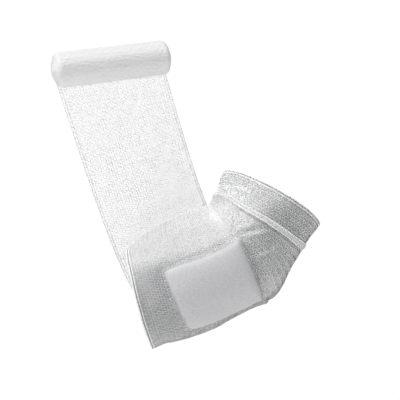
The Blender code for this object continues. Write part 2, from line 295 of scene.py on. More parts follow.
# Sections of the tube: station as a share of the reach on its side of the elbow, then the radii on
# the crease side, on the side of the elbow's tip and on the two flanks as shares of ARM_RADIUS
SECTIONS = (
    (-1.00, 0.900, 0.895, 0.910),
    (-0.80, 0.957, 0.930, 0.945),
    (-0.61, 1.005, 1.000, 0.990),
    (-0.44, 1.035, 1.038, 1.020),
    (-0.25, 1.022, 1.020, 1.030),
    (-0.12, 1.000, 1.078, 1.040),
    (-0.04, 0.957, 1.175, 1.045),
    (0.08, 0.905, 1.155, 1.045),
    (0.22, 0.870, 1.035, 1.030),
    (0.40, 0.895, 0.965, 1.020),
    (0.57, 0.957, 0.943, 1.010),
    (0.79, 1.050, 0.978, 1.010),
    (1.00, 1.087, 0.991, 1.020),
)

# Slanted round edges as shares of UPPER_REACH or, below the elbow, of BAND_WIDTH: the mean station,
# then what it gains toward the crease and toward the pad's flank
UPPER_RIM = (0.846, -0.056, 0.120)
UPPER_HIDDEN = (0.250, 0.0, 0.0)
ELBOW_HIDDEN = (-0.725, 0.055, 0.0)

# The elbow turn's folded ridge: angle in degrees from the crease over the pad's flank, then its
# station as a share of UPPER_REACH
ELBOW_RIDGE = (
    (-180.0, 0.590),
    (-90.0, 0.520),
    (-30.0, 0.440),
    (0.0, 0.415),
    (20.0, 0.495),
    (38.0, 0.545),
    (62.0, 0.545),
    (90.0, 0.582),
    (140.0, 0.592),
    (180.0, 0.590),
)

# The forearm turn: winding angle in degrees from the crease over the pad's flank, then the stations
# of its wrist edge and its elbow edge as shares of BAND_WIDTH
FOREARM_EDGES = (
    (-120.0, -0.80, 0.12),
    (-90.0, -0.81, 0.13),
    (0.0, -0.815, 0.14),
    (30.0, -0.850, 0.12),
    (60.0, -0.875, 0.10),
    (90.0, -0.92, 0.065),
    (120.0, -0.965, 0.045),
    (150.0, -1.00, -0.02),
    (180.0, -1.03, -0.08),
    (225.0, -1.03, -0.07),
    (270.0, -1.01, -0.04),
)

# Folds that fan out from the crease: each is a height, below 0 for a dip, and a path of angles in
# degrees and stations as shares of UPPER_REACH
ELBOW_FOLDS = (
    (0.7 * MM, (14.0, 0.25), (38.0, 0.30), (60.0, 0.34)),
    (1.2 * MM, (82.0, 0.17), (92.0, 0.34), (102.0, 0.50)),
    (-0.8 * MM, (80.0, 0.25), (87.0, 0.37), (93.0, 0.48)),
    (0.8 * MM, (72.0, 0.22), (80.0, 0.36), (85.0, 0.46)),
    (0.7 * MM, (104.0, 0.10), (112.0, 0.26), (118.0, 0.44)),
)
UPPER_FOLDS = (
    (1.5 * MM, (6.0, 0.43), (22.0, 0.53), (38.0, 0.63), (53.0, 0.70), (66.0, 0.73), (76.0, 0.74)),
)

FOREARM_START = math.radians(FOREARM_EDGES[0][0])
FOREARM_TURN = math.radians(FOREARM_EDGES[-1][0]) - FOREARM_START

rng = np.random.default_rng(7)


def smooth(x):
    """A soft step from 0 to 1 as x goes from 0 to 1."""
    x = np.clip(x, 0.0, 1.0)
    return x * x * (3.0 - 2.0 * x)


def along_table(x, rows, column):
    """A smooth curve through one column of a table, over its first column, level past its ends."""
    xs = np.array([row[0] for row in rows])
    ys = np.array([row[column] for row in rows])
    slopes = np.gradient(ys, xs)
    x = np.clip(x, xs[0], xs[-1])
    i = np.clip(np.searchsorted(xs, x) - 1, 0, len(xs) - 2)
    span = xs[i + 1] - xs[i]
    s = (x - xs[i]) / span
    start = (1 + 2 * s) * (1 - s) ** 2 * ys[i] + s * (1 - s) ** 2 * span * slopes[i]
    end = s * s * (3 - 2 * s) * ys[i + 1] - s * s * (1 - s) * span * slopes[i + 1]
    return start + end


def round_edge(edge, angle, unit):
    """The station of a slanted round edge at an angle round the tube."""
    mean, crease, flank = edge
    return unit * (mean + crease * np.cos(angle) + flank * np.sin(angle))


def ridge_station(angle):
    """The station of the elbow turn's folded ridge at an angle round the tube."""
    degrees = (np.degrees(angle) + 180.0) % 360.0 - 180.0
    return UPPER_REACH * along_table(degrees, ELBOW_RIDGE, 1)


def centre_line(t):
    """The centre line's point, its heading and its normal toward the crease, at station t."""
    half = BEND_RADIUS * BEND_ANGLE / 2
    bend = np.clip(t, -half, half)
    straight = t - bend
    middle = FOREARM_TILT + BEND_ANGLE / 2
    corner = BEND_RADIUS / math.cos(BEND_ANGLE / 2)
    turn = middle + bend / BEND_RADIUS
    heading = np.stack([np.cos(turn), np.zeros_like(turn), np.sin(turn)], axis=-1)
    normal = np.stack([-np.sin(turn), np.zeros_like(turn), np.cos(turn)], axis=-1)
    centre = corner * np.array([-math.sin(middle), 0.0, math.cos(middle)])
    point = centre - BEND_RADIUS * normal + straight[..., None] * heading
    return point, heading, normal


def tube_point(t, angle, lift):
    """The point at station t, at an angle from the crease over the pad's flank, lift above the tube."""
    point, _, normal = centre_line(t)
    share = np.where(t < 0, t / FOREARM_REACH, t / UPPER_REACH)
    crease = ARM_RADIUS * along_table(share, SECTIONS, 1) + lift
    tip = ARM_RADIUS * along_table(share, SECTIONS, 2) + lift
    flank = ARM_RADIUS * along_table(share, SECTIONS, 3) + lift
    cosine = np.cos(angle)
    inward = np.where(cosine > 0, crease, tip) * cosine
    sideways = -flank * np.sin(angle)
    across = np.array([0.0, 1.0, 0.0])
    return point + inward[..., None] * normal + sideways[..., None] * across


def pad_station(along, around):
    """The station and angle of the pad's flat point, which is along and around from its centre."""
    half = BEND_RADIUS * BEND_ANGLE / 2
    run = along * math.cos(PAD_TURN) - around * math.sin(PAD_TURN)
    angle = PAD_ANGLE + (around * math.cos(PAD_TURN) + along * math.sin(PAD_TURN)) / ARM_RADIUS
    stretch = 1.0 - ARM_RADIUS * np.cos(angle) / BEND_RADIUS
    past_bend = run + PAD_STATION + half
    station = np.where(past_bend > 0, past_bend / stretch, past_bend) - half
    return station, angle


def pad_flat(t, angle):
    """The pad's flat coordinates of a station and an angle, the other way round."""
    half = BEND_RADIUS * BEND_ANGLE / 2
    stretch = 1.0 - ARM_RADIUS * np.cos(angle) / BEND_RADIUS
    past_bend = t + half
    run = np.where(past_bend > 0, past_bend * stretch, past_bend) - half - PAD_STATION
    turned = (angle - PAD_ANGLE) * ARM_RADIUS
    along = run * math.cos(PAD_TURN) + turned * math.sin(PAD_TURN)
    around = turned * math.cos(PAD_TURN) - run * math.sin(PAD_TURN)
    return along, around


def pad_shares(t, angle, margin):
    """A place's distances from the pad's middle, as shares of its half sizes with a margin."""
    angle = np.mod(angle, 2 * math.pi)
    along, around = pad_flat(t, angle)
    across = np.abs(around) / (PAD_HEIGHT / 2 + margin)
    wrist_end = PAD_LENGTH / 2 * (1 - PAD_TAPER * np.clip(2 * around / PAD_HEIGHT, -1, 1))
    end = np.where(along > 0, PAD_ELBOW_END, wrist_end)
    lengthwise = np.abs(along) / (end + margin)
    corner = PAD_CORNER / PAD_LENGTH
    a = lengthwise / (1 - corner * np.clip(across, 0, 1) ** PAD_POWER)
    b = across / (1 - corner * np.clip(lengthwise, 0, 1) ** PAD_POWER)
    return a, b


def on_pad(t, angle, margin, slope):
    """1 over the pad and its margin, falling to 0 within the slope beside it."""
    a, b = pad_shares(t, angle, margin)
    past_end = (a - 1) * PAD_LENGTH / 2 / slope
    past_side = (b - 1) * PAD_HEIGHT / 2 / slope
    return (1 - smooth(past_end)) * (1 - smooth(past_side))


def pad_lift(t, angle):
    """How far the pad lifts the cloth: its soft edge's height, then the dome of its top."""
    a, b = pad_shares(t, angle, PAD_MARGIN)
    dome = (1 - np.clip(a, 0, 1) ** PAD_POWER) * (1 - np.clip(b, 0, 1) ** PAD_POWER)
    edge = (PAD_EDGE + LAY_GAP) * on_pad(t, angle, PAD_MARGIN, PAD_SLOPE)
    return edge + (PAD_THICKNESS - PAD_EDGE) * dome


def pad_shows(t, angle):
    """1 where the pad shows white through the net, falling to 0 just past its edge."""
    return on_pad(t, angle, 0.0, PAD_SHOW_SLOPE)


def ripple(t, angle):
    """Slow waves of the cloth, 0.2 mm high at most: the product of two slanted sines, and a third one."""
    one, two, three = (np.sin(along * t + around * angle + phase) for along, around, phase in RIPPLES)
    return RIPPLE_HEIGHTS[0] * one * two + RIPPLE_HEIGHTS[1] * three


def lap(t, edge):
    """Rises from 0 to the height of one lap as a turn climbs onto the edge of the turn below."""
    return (BAND_WALL + LAY_GAP) * smooth((t - edge + LAP_RAMP) / (LAP_RAMP - LAP_REST))


def elbow_lift(t, angle):
    """The elbow turn lies over the pad and over the hidden part of the upper arm's turn."""
    below = round_edge(UPPER_HIDDEN, angle, UPPER_REACH)
    return pad_lift(t, angle) + lap(t, below) + ripple(t, angle)


def forearm_lift(t, wound):
    """The forearm turn lies over the elbow turn, and climbs one lap more in its own full turn.

    Its elbow edge is stretched down onto the elbow turn, all but where the free strip leaves.
    """
    below = round_edge(ELBOW_HIDDEN, wound, BAND_WIDTH)
    climb = (BAND_WALL + LAY_GAP) * smooth((wound - CLIMB_START) / CLIMB_TURN)
    high = BAND_WIDTH * along_table(np.degrees(wound), FOREARM_EDGES, 2)
    tuck = smooth(1 - (high - t) / EDGE_FADE) * (1 - smooth((wound - TUCK_END) / TUCK_TURN))
    above = lap(t, below) + climb
    last_step = TUCK_HEIGHT * (1 - TUCK_THINNING * smooth(1 - (high - t) / TUCK_LIP))
    return elbow_lift(t, wound) + above * (1 - tuck) + np.minimum(last_step, above) * tuck


def fold_rise(t, angle, folds):
    """Narrow folds along paths: a bell curve of the distance from the line, fading to its two ends."""
    turned = ARM_RADIUS * ((angle + math.pi) % (2 * math.pi) - math.pi)
    rise = np.zeros_like(t)
    for height, *path in folds:
        knots = [np.array([ARM_RADIUS * math.radians(a), UPPER_REACH * share]) for a, share in path]
        nearest = np.full_like(t, 1.0)
        position = np.zeros_like(t)
        for i, (start, end) in enumerate(zip(knots, knots[1:])):
            way = end - start
            share = ((turned - start[0]) * way[0] + (t - start[1]) * way[1]) / way.dot(way)
            share = np.clip(share, 0, 1)
            off = np.hypot(turned - start[0] - share * way[0], t - start[1] - share * way[1])
            position = np.where(off < nearest, (i + share) / (len(knots) - 1), position)
            nearest = np.minimum(nearest, off)
        ends = smooth(FOLD_START_STEEP * position) * smooth(FOLD_END_STEEP * (1 - position))
        rise = rise + height * ends * np.exp(-((nearest / FOLD_WIDTH) ** 2))
    return rise


def ridge_strength(angle):
    """1 along the elbow turn's folded edge, and low where it melts into the folds near the crease."""
    turned = (np.degrees(angle) - KNOT_ANGLE + 180.0) % 360.0 - 180.0
    return 1 - KNOT_MELT * np.exp(-((turned / KNOT_SPREAD) ** 2))


def ridge_rise(gap, angle):
    """The elbow turn's folded edge, by the distance from it: a flat raised band with a short foot."""
    return RIDGE_RISE * smooth((RIDGE_WIDTH - gap) / RIDGE_FOOT) * ridge_strength(angle)


def upper_lift(t, angle):
    """The upper arm's turn swells up to meet the folded edge that lies on it."""
    past = t - ridge_station(angle)
    return ripple(t, angle) + UPPER_PLUMP * smooth(1 - past / PLUMP_WIDTH)


def upper_rise(t, angle):
    """What stands up on the outside of the upper arm's turn: its fold."""
    return fold_rise(t, angle, UPPER_FOLDS)


def elbow_rise(t, angle):
    """What stands up on the outside of the elbow turn: its folded edge and its folds."""
    return ridge_rise(ridge_station(angle) - t, angle) + fold_rise(t, angle, ELBOW_FOLDS)


def forearm_rise(t, wound):
    """Nothing stands up on the forearm turn."""
    return np.zeros_like(t)


def forearm_grid(share, wound):
    """Stations of the forearm turn: share goes from its wrist edge to its elbow edge."""
    degrees = np.degrees(wound)
    low = BAND_WIDTH * along_table(degrees, FOREARM_EDGES, 1)
    high = BAND_WIDTH * along_table(degrees, FOREARM_EDGES, 2)
    return low + share * (high - low)


def roll_frame():
    """The roll's centre and axis, the strip's way down from it and the side that it leaves from."""
    centre = np.array([-ROLL_LEFT, -ROLL_NEAR, ROLL_UP])
    level = np.array([math.cos(ROLL_YAW), math.sin(ROLL_YAW), 0.0])
    axis = math.cos(ROLL_TILT) * level + np.array([0.0, 0.0, math.sin(ROLL_TILT)])
    down = np.array([0.0, math.sin(TAIL_LEAN), -math.cos(TAIL_LEAN)])
    down = down - down.dot(axis) * axis
    down = down / np.linalg.norm(down)
    return centre, axis, down, np.cross(axis, down)


def tail_middle(share, run):
    """The free strip's middle surface: share across it, run from the turn at 0 to the roll at 1."""
    wound = np.full_like(share, math.radians(FOREARM_EDGES[-1][0]))
    t = forearm_grid(share, wound)
    centre, axis, down, side = roll_frame()
    start = tube_point(t, wound, forearm_lift(t, wound) + BAND_WALL / 2)
    leave = np.array([-math.sin(TAIL_LEAVE), 0.0, math.cos(TAIL_LEAVE)])
    start = start + BUTT_GAP * leave
    across = (share - 0.5) * BAND_WIDTH
    radius = ROLL_RADIUS - BAND_WALL / 2
    end = centre + radius * side + across[..., None] * axis + BUTT_GAP * down
    arrive = -down * math.cos(TAIL_SKEW) + axis * math.sin(TAIL_SKEW)
    v = run[..., None]
    points = (1 + 2 * v) * (1 - v) ** 2 * start + v * v * (3 - 2 * v) * end
    pulls = LEAVE_PULL * v * (1 - v) ** 2 * leave - ARRIVE_PULL * v * v * (1 - v) * arrive
    return points + pulls


def surface(name, points, quads, triangles=None, attributes=None, uvs=None):
    """A new object from arrays of points, quads and triangles, with attributes and a UV for each point."""
    triangles = np.zeros((0, 3), np.int32) if triangles is None else triangles
    corners = np.concatenate([quads.ravel(), triangles.ravel()]).astype(np.int32)
    totals = np.repeat([4, 3], [len(quads), len(triangles)]).astype(np.int32)
    mesh = bpy.data.meshes.new(name)
    mesh.vertices.add(len(points))
    mesh.vertices.foreach_set("co", points.astype(np.float32).ravel())
    mesh.loops.add(len(corners))
    mesh.loops.foreach_set("vertex_index", corners)
    mesh.polygons.add(len(totals))
    mesh.polygons.foreach_set("loop_start", np.cumsum(totals, dtype=np.int32) - totals)
    mesh.polygons.foreach_set("loop_total", totals)
    mesh.update(calc_edges=True)
    mesh.shade_smooth()
    for key, values in (attributes or {}).items():
        layer = mesh.attributes.new(key, "FLOAT", "POINT")
        layer.data.foreach_set("value", values.astype(np.float32).ravel())
    if uvs is not None:
        layer = mesh.uv_layers.new(name="weave")
        layer.data.foreach_set("uv", uvs[corners].astype(np.float32).ravel())
    thing = bpy.data.objects.new(name, mesh)
    bpy.context.scene.collection.objects.link(thing)
    return thing


def wall_quads(rows, columns, closed):
    """Quads of a wall between two grids of points: its two sides, and the edges that join them."""
    index = np.arange(rows * columns).reshape(rows, columns)
    if closed:
        index = np.concatenate([index, index[:, :1]], axis=1)
    skip = rows * columns
    a, b, c, d = index[:-1, :-1], index[:-1, 1:], index[1:, 1:], index[1:, :-1]
    inner = np.stack([a, b, c, d], axis=-1).reshape(-1, 4)
    outer = np.stack([d, c, b, a], axis=-1).reshape(-1, 4) + skip
    first, last = index[0], index[-1]
    bottom = np.stack([first[1:], first[:-1], first[:-1] + skip, first[1:] + skip], axis=-1)
    top = np.stack([last[:-1], last[1:], last[1:] + skip, last[:-1] + skip], axis=-1)
    parts = [inner, outer, bottom, top]
    if not closed:
        left, right = index[:, 0], index[:, -1]
        parts.append(np.stack([left[:-1], left[1:], left[1:] + skip, left[:-1] + skip], axis=-1))
        parts.append(np.stack([right[1:], right[:-1], right[:-1] + skip, right[1:] + skip], axis=-1))
    return np.concatenate(parts)


def tubes(lines, radius, sides):
    """Round yarns along lines x points x 3: a ring of corners at each point, square to the line.

    The ring's two directions are made from one fixed direction, so that the rings don't twist.
    It returns the points, the quads between the rings, and the first and last rings.
    """
    count, length = lines.shape[:2]
    ahead = np.gradient(lines, axis=1)
    ahead = ahead / np.linalg.norm(ahead, axis=-1, keepdims=True)
    along_guide = np.abs(ahead @ np.array(GUIDE))[..., None] > NEARLY_ALONG
    guide = np.where(along_guide, np.array(OTHER_GUIDE), np.array(GUIDE))
    one = np.cross(ahead, guide)
    one = one / np.linalg.norm(one, axis=-1, keepdims=True)
    two = np.cross(ahead, one)
    turn = np.arange(sides) * 2 * math.pi / sides
    spread = np.cos(turn)[:, None] * one[:, :, None] + np.sin(turn)[:, None] * two[:, :, None]
    radius = np.broadcast_to(radius, (count, length))[..., None, None]
    points = lines[:, :, None] + radius * spread
    index = np.arange(count * length * sides).reshape(count, length, sides)
    turned = np.roll(index, -1, axis=2)
    quads = np.stack([index[:, :-1], turned[:, :-1], turned[:, 1:], index[:, 1:]], axis=-1)
    return points.reshape(-1, 3), quads.reshape(-1, 4), index[:, 0], index[:, -1]


def yarns(name, groups):
    """One object of many closed yarns. Each group is lines, radius, sides and each point's two marks.

    The marks are how far the point is on the pad, and how light the crepe is painted there, its painted
    light and shade.
    """
    points, quads, caps, covers, lights, skip = [], [], [], [], [], 0
    for lines, radius, sides, (cover, light) in groups:
        ring_points, ring_quads, first, last = tubes(lines, radius, sides)
        points.append(ring_points)
        quads.append(ring_quads + skip)
        for k in range(1, sides - 1):
            caps.append(np.stack([first[:, 0], first[:, k + 1], first[:, k]], axis=-1) + skip)
            caps.append(np.stack([last[:, 0], last[:, k], last[:, k + 1]], axis=-1) + skip)
        covers.append(np.repeat(cover[..., None], sides, axis=2).ravel())
        light = np.where(light > 0, YARN_GAIN * light, light)
        lights.append(np.repeat(light[..., None], sides, axis=2).ravel())
        skip += len(ring_points)
    marks = {"over_pad": np.concatenate(covers), "light": np.concatenate(lights)}
    return surface(name, np.concatenate(points), np.concatenate(quads), np.concatenate(caps), marks)


def wander(count, length, step, size):
    """Slow random drift of many lines: seeded noise of that size, eased between knots a step apart."""
    knots = max(4, int(length / step) + 3)
    noise = rng.normal(0.0, 1.0, (count, knots))
    at = np.linspace(0, knots - 1.001, length)
    i = at.astype(int)
    s = smooth(at - i)
    return size * (noise[:, i] * (1 - s) + noise[:, i + 1] * s)


def net(name, place, marks, size, cords, insets=CORD_INSET, fullness=1.0, joined=False, swell=None):
    """The strip's thread net, of a size (across, along) in metres.

    place(share, run, lift) gives points for shares across and along the strip, and marks(share, run) how
    far they are on the pad and how light they are.
    Warp: a yarn for each column, which sways to and fro once every two rows, against its neighbours.
    Weft: rows that slant up and down from column to column, over one yarn and under the next.
    Cords: the thick yarns of the selvedges at share 0 and share 1; each entry is None for no selvedge, or
    the run from which it shows. swell gives their thickness by the angle round the tube.
    """
    width, run_length = size
    rows = int(round(run_length / ROW_PITCH))
    columns = int(round(width / COLUMN_PITCH))
    length = rows * 2 + 1
    run = np.linspace(0, 1, length)
    phase = run * rows * math.pi
    middle = (np.arange(columns) + 0.5) / columns
    column_sign = np.where(np.arange(columns) % 2 < 1, 1.0, -1.0)
    drift = wander(columns, length, DRIFT_STEP, YARN_DRIFT / width)
    drift = drift + wander(columns, length, SHAKE_STEP, YARN_SHAKE / width)
    share = middle[:, None] + drift + YARN_SWAY / width * np.cos(phase) * column_sign[:, None]
    runs = np.broadcast_to(run, share.shape)
    on, light = marks(share, runs)
    lift = NET_LIFT + YARN_WAVE * np.sin(phase + YARN_PHASE) * column_sign[:, None] - on * PAD_SINK
    thick = fullness * YARN_RADIUS * (1 + wander(columns, length, UNEVEN_STEP, YARN_UNEVEN))
    warp = [(place(share, runs, lift), thick, YARN_SIDES, (on, light))]
    for edge, inward, start in ((0.0, 1, cords[0]), (1.0, -1, cords[1])):
        if start is None:
            continue
        shown = np.linspace(start, 1, length)[None, :]
        grown = smooth((shown - start) / CORD_GROWTH + (start == 0))
        thick = CORD_RADIUS * (CORD_THIN + (1 - CORD_THIN) * grown)
        thick = thick * swell(2 * math.pi * shown) if swell else thick
        for inset in insets:
            share = edge + inward * inset / width + wander(1, length, CORD_STEP, CORD_SHAKE / width)
            on, _ = marks(share, shown)
            line = place(share, shown, np.full_like(share, NET_LIFT) - on * PAD_SINK)
            warp.append((line, thick, CORD_SIDES, (on, np.ones_like(share))))
    samples = 2 * columns + 1
    across = np.linspace(WEFT_INSET, 1 - WEFT_INSET, samples)
    row = np.arange(rows) + 0.5
    column = across * columns
    slant = (np.abs((column % 2.0) - 1.0) * 2.0 - 1.0) * WEFT_SLANT / run_length
    jitter = rng.normal(0.0, WEFT_SHIFT, (rows, 1)) + wander(rows, samples, UNEVEN_STEP, WEFT_SHAKE)
    runs = row[:, None] / rows + slant + jitter / run_length
    runs = np.clip(runs, RUN_INSET, 1 - RUN_INSET)
    share = np.broadcast_to(across, runs.shape)
    on, light = marks(share, runs)
    over = np.cos(math.pi * column) * np.where(row % 2 < 1, 1, -1)[:, None]
    lift = NET_LIFT - WEFT_SINK + WEFT_WAVE * over - on * PAD_SINK
    thick = fullness * WEFT_RADIUS * (1 + wander(rows, samples, SHAKE_STEP, WEFT_UNEVEN))
    weft = [(place(share, runs, lift), thick, YARN_SIDES, (on, light))]
    if joined:
        return [yarns(name + "_net", warp + weft)]
    return [yarns(name + "_warp", warp), yarns(name + "_weft", weft)]


def colour(hex_value):
    """An sRGB hex value turned to the linear colour that a shader's socket takes."""
    parts = [int(hex_value[i:i + 2], 16) / 255 for i in (1, 3, 5)]
    return [p / 12.92 if p <= 0.04045 else ((p + 0.055) / 1.055) ** 2.4 for p in parts] + [1.0]


def toned(hex_value, factor):
    """A hex colour made darker or lighter by a factor on its linear values, as far as white."""
    return [min(c * factor, 1.0) for c in colour(hex_value)[:3]] + [1.0]


def add(tree, kind, inputs=None, output=None, **settings):
    """Adds a node with its settings and its inputs, which are values or sockets to link.

    It gives the node, or one of its output sockets.
    """
    node = tree.nodes.new(kind)
    for key, value in settings.items():
        setattr(node, key, value)
    for key, value in (inputs or {}).items():
        if isinstance(value, bpy.types.NodeSocket):
            tree.links.new(value, node.inputs[key])
        else:
            node.inputs[key].default_value = value
    return node if output is None else node.outputs[output]


def new_material(name):
    """An empty material with its Principled shader, already wired to the output."""
    material = bpy.data.materials.new(name)
    material.use_nodes = True
    tree = material.node_tree
    tree.nodes.clear()
    shader = add(tree, "ShaderNodeBsdfPrincipled")
    add(tree, "ShaderNodeOutputMaterial", {"Surface": shader.outputs["BSDF"]})
    return material, tree, shader


def by_light(tree, light, deep, grey, white):
    """A colour by the crepe's painted light value: deep painted shade at -1, grey painted shade at 0 and
    white at 1.
    """
    below = add(tree, "ShaderNodeMath", {0: light, 1: -1.0}, "Value", operation="MULTIPLY")
    above = add(tree, "ShaderNodeMix", {SHARE: light, FIRST: grey, SECOND: white}, MIXED, data_type="RGBA")
    return add(tree, "ShaderNodeMix", {SHARE: below, FIRST: above, SECOND: deep}, MIXED, data_type="RGBA")


def matt_cloth(tree, shader, base, height, strength, depth, roughness, sheen, specular):
    """Ends a cloth's material: its colour, the bump of its fibres by a height, and its matt finish."""
    bump = add(tree, "ShaderNodeBump", {"Height": height, "Strength": strength, "Distance": depth}, "Normal")
    tree.links.new(base, shader.inputs["Base Color"])
    tree.links.new(bump, shader.inputs["Normal"])
    shader.inputs["Roughness"].default_value = roughness
    shader.inputs["Sheen Weight"].default_value = sheen
    shader.inputs["Specular IOR Level"].default_value = specular


def crepe_yarn(name, grey, white, pad_tint):
    """Bleached cotton crepe yarn, spun: matt with a little fuzz, white where the strip is gathered and lit.

    It is painted grey in shade where the strip is stretched open and darker in painted shade on its
    underside, greyer at random in soft patches along it, and on the pad it takes the pad's tint.
    """
    material, tree, shader = new_material(name)
    place = add(tree, "ShaderNodeTexCoord", None, "Object")
    cover = add(tree, "ShaderNodeAttribute", None, "Fac", attribute_name="over_pad")
    light = add(tree, "ShaderNodeAttribute", None, "Fac", attribute_name="light")
    patch = {"Vector": place, "Scale": 1 / YARN_PATCH, "Detail": 2.0}
    uneven = add(tree, "ShaderNodeTexNoise", patch, "Fac")
    tone = add(tree, "ShaderNodeMapRange", {"Value": uneven, "From Min": 0.37, "From Max": 0.60}, "Result")
    # Painted light and shade: deep on the underside, grey where stretched open, white where gathered and lit
    bright = by_light(tree, light, toned(grey, 0.6), colour(grey), colour(white))
    half_soft = {SHARE: 0.5, FIRST: bright, SECOND: toned(white, 0.6)}
    dull = add(tree, "ShaderNodeMix", half_soft, MIXED, data_type="RGBA")
    yarn = add(tree, "ShaderNodeMix", {SHARE: tone, FIRST: dull, SECOND: bright}, MIXED, data_type="RGBA")
    tinted = {SHARE: cover, FIRST: yarn, SECOND: colour(pad_tint)}
    base = add(tree, "ShaderNodeMix", tinted, MIXED, data_type="RGBA")
    fuzz = {"Vector": place, "Scale": 1 / YARN_FUZZ, "Detail": 2.0}
    fibre = add(tree, "ShaderNodeTexNoise", fuzz, "Fac")
    matt_cloth(tree, shader, base, fibre, 0.4, 0.1 * MM, 0.9, 0.15, 0.2)
    return material


def crepe_ground(name, deep, grey, white, pad_tint):
    """The layers of crepe seen through the net: white where gathered and lit, painted grey in shade where
    stretched open, and painted deep shade on the underside.

    The weave of the layer below shows as a finer pattern, drawn from the strip's own UV in metres, with its
    holes painted in deep shade; soft clouds are whiter at random. Over the pad it is as pale and softly
    mottled as the felt that shows through.
    """
    material, tree, shader = new_material(name)
    place = add(tree, "ShaderNodeTexCoord", None, "Object")
    flat = add(tree, "ShaderNodeUVMap", None, "UV", uv_map="weave")
    light = add(tree, "ShaderNodeAttribute", None, "Fac", attribute_name="light")
    cover = add(tree, "ShaderNodeAttribute", None, "Fac", attribute_name="over_pad")
    holes = add(tree, "ShaderNodeTexVoronoi", {"Vector": flat, "Scale": 1 / LAYER_WEAVE}, "Distance")
    cloud = {"Vector": place, "Scale": 1 / LAYER_CLOUD, "Detail": 4.0}
    clouds = add(tree, "ShaderNodeTexNoise", cloud, "Fac")
    # Painted light and shade of the layers
    layers = by_light(tree, light, colour(deep), colour(grey), colour(white))
    # Holes of the weave below painted in deep shade, then random clouds mixed toward white
    for value, low, high, most, tint in ((holes, 0.2, 0.7, 0.35, deep), (clouds, 0.35, 0.7, 0.18, white)):
        steps = {"Value": value, "From Min": low, "From Max": high, "To Min": 0.0, "To Max": most}
        share = add(tree, "ShaderNodeMapRange", steps, "Result")
        mixed = {SHARE: share, FIRST: layers, SECOND: colour(tint)}
        layers = add(tree, "ShaderNodeMix", mixed, MIXED, data_type="RGBA")
    grain = {"Vector": place, "Scale": 1 / PAD_GRAIN, "Detail": 4.0}
    mottle = add(tree, "ShaderNodeTexNoise", grain, "Fac")
    shown = {SHARE: mottle, FIRST: toned(pad_tint, 0.74), SECOND: toned(pad_tint, 1.22)}
    pad = add(tree, "ShaderNodeMix", shown, MIXED, data_type="RGBA")
    base = add(tree, "ShaderNodeMix", {SHARE: cover, FIRST: layers, SECOND: pad}, MIXED, data_type="RGBA")
    matt_cloth(tree, shader, base, mottle, 0.35, 0.3 * MM, 0.95, 0.1, 0.15)
    return material


def pad_felt(name, tint):
    """Needled viscose felt: soft, matt and faintly mottled, with a fibre fuzz."""
    material, tree, shader = new_material(name)
    place = add(tree, "ShaderNodeTexCoord", None, "Object")
    patch = {"Vector": place, "Scale": 1 / FELT_MOTTLE, "Detail": 5.0}
    mottle = add(tree, "ShaderNodeTexNoise", patch, "Fac")
    tones = {SHARE: mottle, FIRST: toned(tint, 0.85), SECOND: colour(tint)}
    base = add(tree, "ShaderNodeMix", tones, MIXED, data_type="RGBA")
    fuzz = {"Vector": place, "Scale": 1 / FELT_FUZZ, "Detail": 4.0}
    fibre = add(tree, "ShaderNodeTexNoise", fuzz, "Fac")
    matt_cloth(tree, shader, base, fibre, 0.5, 0.3 * MM, 0.95, 0.2, 0.15)
    return material


def roll_crepe(name, tint):
    """The same crepe wound tight: white, with painted shade in the dips of weave and wrinkles, lap gaps,
    hubs and top.
    """
    material, tree, shader = new_material(name)
    place = add(tree, "ShaderNodeTexCoord", None, "Object")
    painted_shade = add(tree, "ShaderNodeAttribute", None, "Fac", attribute_name="painted_shade")
    cloud = {"Vector": place, "Scale": 1 / ROLL_CLOUD, "Detail": 3.0}
    clouds = add(tree, "ShaderNodeTexNoise", cloud, "Fac")
    tones = {SHARE: clouds, FIRST: toned(tint, 0.93), SECOND: colour(tint)}
    white = add(tree, "ShaderNodeMix", tones, MIXED, data_type="RGBA")
    # Painted shade by the mark: dips, lap gaps, hubs and the upper side
    dips = {SHARE: painted_shade, FIRST: white, SECOND: toned(tint, 0.66)}
    base = add(tree, "ShaderNodeMix", dips, MIXED, data_type="RGBA")
    fuzz = {"Vector": place, "Scale": 1 / ROLL_FUZZ, "Detail": 3.0}
    fibre = add(tree, "ShaderNodeTexNoise", fuzz, "Fac")
    matt_cloth(tree, shader, base, fibre, 0.35, 0.2 * MM, 0.9, 0.0, 0.2)
    return material


crepe_net = crepe_yarn("cotton crepe yarn", YARN_PAINTED_SHADE_GREY, YARN_WHITE, PAD_SHOW)
strip_net = crepe_yarn("cotton crepe yarn of the free strip", STRIP_WHITE, STRIP_WHITE, STRIP_WHITE)
crepe_layers = crepe_ground("cotton crepe layers", LAYER_PAINTED_DEEP_SHADE, LAYER_PAINTED_SHADE_GREY, LAYER_WHITE, PAD_SHOW)
felt = pad_felt("viscose felt", FELT_WHITE)
wound_crepe = roll_crepe("wound cotton crepe", ROLL_WHITE)


def finish_piece(piece, material, replaced=None):
    """Gives a piece its material and slot, puts it on the model and hides the solid that it stands for."""
    piece.data.materials.append(material)
    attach(piece, "root")
    if replaced:
        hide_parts(replaced)


